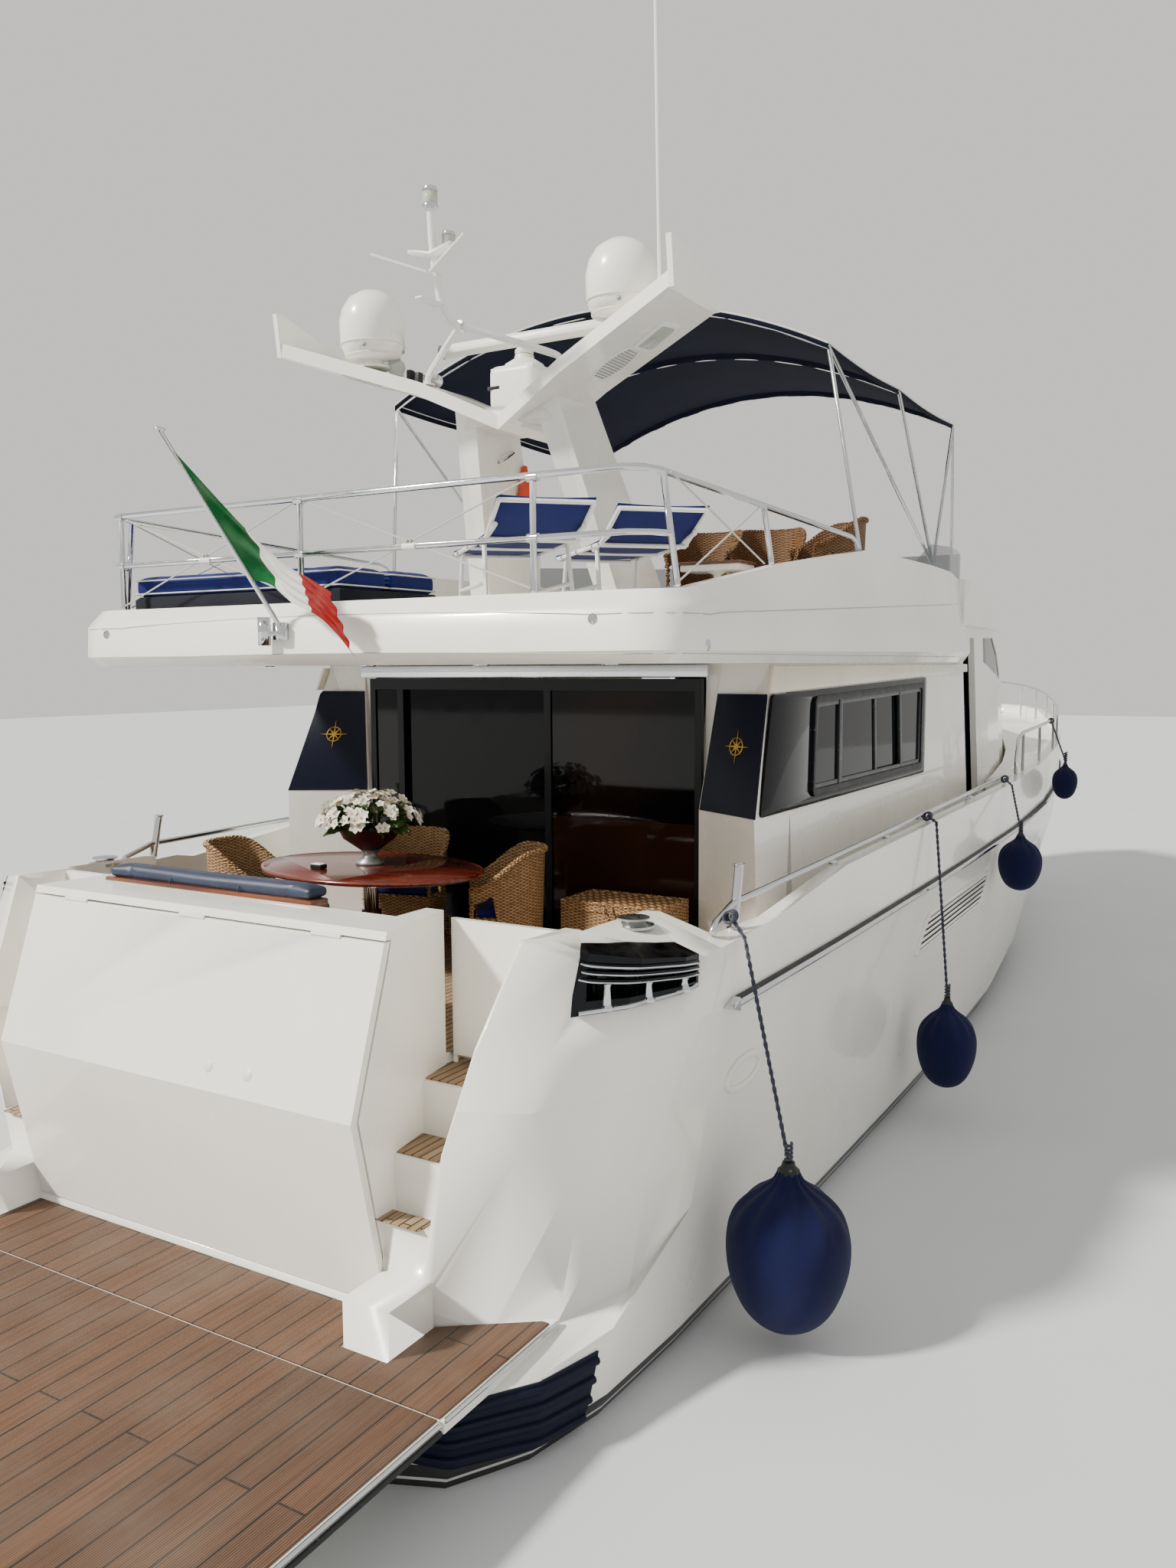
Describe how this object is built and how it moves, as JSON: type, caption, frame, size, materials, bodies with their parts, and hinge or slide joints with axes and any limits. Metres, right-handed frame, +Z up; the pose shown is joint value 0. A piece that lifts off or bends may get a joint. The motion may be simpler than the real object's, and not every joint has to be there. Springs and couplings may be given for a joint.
{
  "type": "motor yacht",
  "caption": "Flybridge motor yacht afloat, with a decked hull, glazed deckhouse, radar arch, bimini, stern garage, lift platform, opening doors, gates and hatches.",
  "frame": {"origin": "amidships on the centreline at the waterline", "axes": "+Y towards the bow, +X to starboard, +Z up"},
  "size_m": [5.944, 21.75, 10.2721],
  "materials": {
    "gelcoat": "polished gelcoat",
    "glass": "dark tinted",
    "acrylic": "smoked",
    "steel": "polished stainless steel",
    "bronze": "cast and ground",
    "aluminium": "painted white",
    "navy_cloth": "woven",
    "navy_leather": "smooth",
    "mahogany": "varnished",
    "wicker": "woven cane",
    "pewter": "tarnished",
    "flag_cloth": "woven"
  },
  "bodies": {
    "yacht": {"hull": "gelcoat", "deck_moulding": "gelcoat", "ledge_platform": "gelcoat", "deckhouse": "gelcoat", "saloon_window_starboard": "glass", "saloon_window_port": "glass", "pilothouse_window_starboard": "glass", "pilothouse_window_port": "glass", "windscreen": "glass", "saloon_bulkhead": "glass", "flybridge": "gelcoat", "fly_windscreen": "acrylic", "radar_arch": "gelcoat", "light_mast": "steel", "dome_starboard": "gelcoat", "dome_port": "gelcoat", "cap_rail_starboard": "steel", "cap_rail_port": "steel", "bow_rail": "steel", "fly_rail": "steel", "bimini_canopy": "navy_cloth", "bimini_frame": "steel", "helm_seat": "navy_leather", "sunpad": "navy_cloth", "lounger_aft": "aluminium", "lounger_forward": "aluminium", "cockpit_table": "mahogany", "flower_bowl": "pewter", "bench_base": "mahogany", "bench_cushion": "navy_leather", "wicker_chair_port": "wicker", "wicker_chair_forward": "wicker", "wicker_chair_starboard": "wicker", "wicker_chest": "wicker", "ensign_staff": "steel", "ensign": "flag_cloth", "fairlead_starboard": "steel", "fairlead_port": "steel", "anchor": "steel", "fender_quarter": "navy_cloth", "fender_side": "navy_cloth", "fender_amidships": "navy_cloth", "fender_forward": "navy_cloth"},
    "garage_door": {"garage_door": "gelcoat"},
    "lift_arms": {"lift_arms": "steel"},
    "swim_platform": {"swim_platform": "gelcoat"},
    "stern_gate_starboard": {"stern_gate_starboard": "gelcoat"},
    "stern_gate_port": {"stern_gate_port": "gelcoat"},
    "propeller_starboard": {"propeller_starboard": "bronze"},
    "propeller_port": {"propeller_port": "bronze"},
    "rudder_starboard": {"rudder_starboard": "bronze"},
    "rudder_port": {"rudder_port": "bronze"},
    "radar_scanner": {"radar_scanner": "gelcoat"},
    "side_door_starboard": {"side_door_starboard": "glass"},
    "side_door_port": {"side_door_port": "glass"},
    "saloon_door": {"saloon_door": "glass"},
    "helm_wheel": {"helm_wheel": "steel"},
    "chest_lid": {"chest_lid": "wicker"},
    "foredeck_hatch": {"foredeck_hatch": "acrylic"}
  },
  "joints": [
    {"name": "garage_door_hinge", "type": "hinge", "parent": "yacht", "child": "garage_door", "pos_m": [0, -9.01782, 2.405], "axis": [-1, 0, 0], "range_deg": [0, 75]},
    {"name": "platform_lift", "type": "hinge", "parent": "yacht", "child": "lift_arms", "pos_m": [0, -9.7, -0.33], "axis": [1, 0, 0], "range_deg": [0, 38]},
    {"name": "platform_level", "type": "hinge", "parent": "lift_arms", "child": "swim_platform", "pos_m": [0, -10.48, 0.33], "axis": [1, 0, 0], "range_deg": [-38, 0]},
    {"name": "stern_gate_starboard_hinge", "type": "hinge", "parent": "yacht", "child": "stern_gate_starboard", "pos_m": [1.315, -8.34, 2], "axis": [0, 0, 1], "range_deg": [0, 95]},
    {"name": "stern_gate_port_hinge", "type": "hinge", "parent": "yacht", "child": "stern_gate_port", "pos_m": [-1.315, -8.34, 2], "axis": [0, 0, -1], "range_deg": [0, 95]},
    {"name": "propeller_starboard_spin", "type": "hinge", "parent": "yacht", "child": "propeller_starboard", "pos_m": [0.95, -7.95, -1.15], "axis": [0, 0.9877, 0.1564], "continuous": true},
    {"name": "propeller_port_spin", "type": "hinge", "parent": "yacht", "child": "propeller_port", "pos_m": [-0.95, -7.95, -1.15], "axis": [0, 0.9877, 0.1564], "continuous": true},
    {"name": "rudder_starboard_turn", "type": "hinge", "parent": "yacht", "child": "rudder_starboard", "pos_m": [0.95, -8.66, -1], "axis": [0, 0, 1], "range_deg": [-35, 35]},
    {"name": "rudder_port_turn", "type": "hinge", "parent": "yacht", "child": "rudder_port", "pos_m": [-0.95, -8.66, -1], "axis": [0, 0, 1], "range_deg": [-35, 35]},
    {"name": "radar_spin", "type": "hinge", "parent": "yacht", "child": "radar_scanner", "pos_m": [0, -5.58, 6.3], "axis": [0, 0, 1], "continuous": true},
    {"name": "side_door_starboard_slide", "type": "slide", "parent": "yacht", "child": "side_door_starboard", "axis": [0.0775, -0.997, 0], "range_m": [0, 0.782]},
    {"name": "side_door_port_slide", "type": "slide", "parent": "yacht", "child": "side_door_port", "axis": [-0.0775, -0.997, 0], "range_m": [0, 0.782]},
    {"name": "saloon_door_slide", "type": "slide", "parent": "yacht", "child": "saloon_door", "axis": [1, 0, 0], "range_m": [0, 1.2]},
    {"name": "helm_wheel_turn", "type": "hinge", "parent": "yacht", "child": "helm_wheel", "pos_m": [0.8, -1.31, 4.624], "axis": [0, -0.8319, 0.5549], "range_deg": [-540, 540]},
    {"name": "chest_lid_hinge", "type": "hinge", "parent": "yacht", "child": "chest_lid", "pos_m": [1.1, -5.765, 2.0204], "axis": [-1, 0, 0], "range_deg": [0, 80]},
    {"name": "foredeck_hatch_hinge", "type": "hinge", "parent": "yacht", "child": "foredeck_hatch", "pos_m": [0, 7.95, 2.81647], "axis": [-1, 0, 0], "range_deg": [0, 75]}
  ],
  "couplings": [
    {"joint": "platform_level", "follows": "platform_lift", "ratio": -1},
    {"joint": "rudder_port_turn", "follows": "rudder_starboard_turn", "ratio": 1}
  ]
}
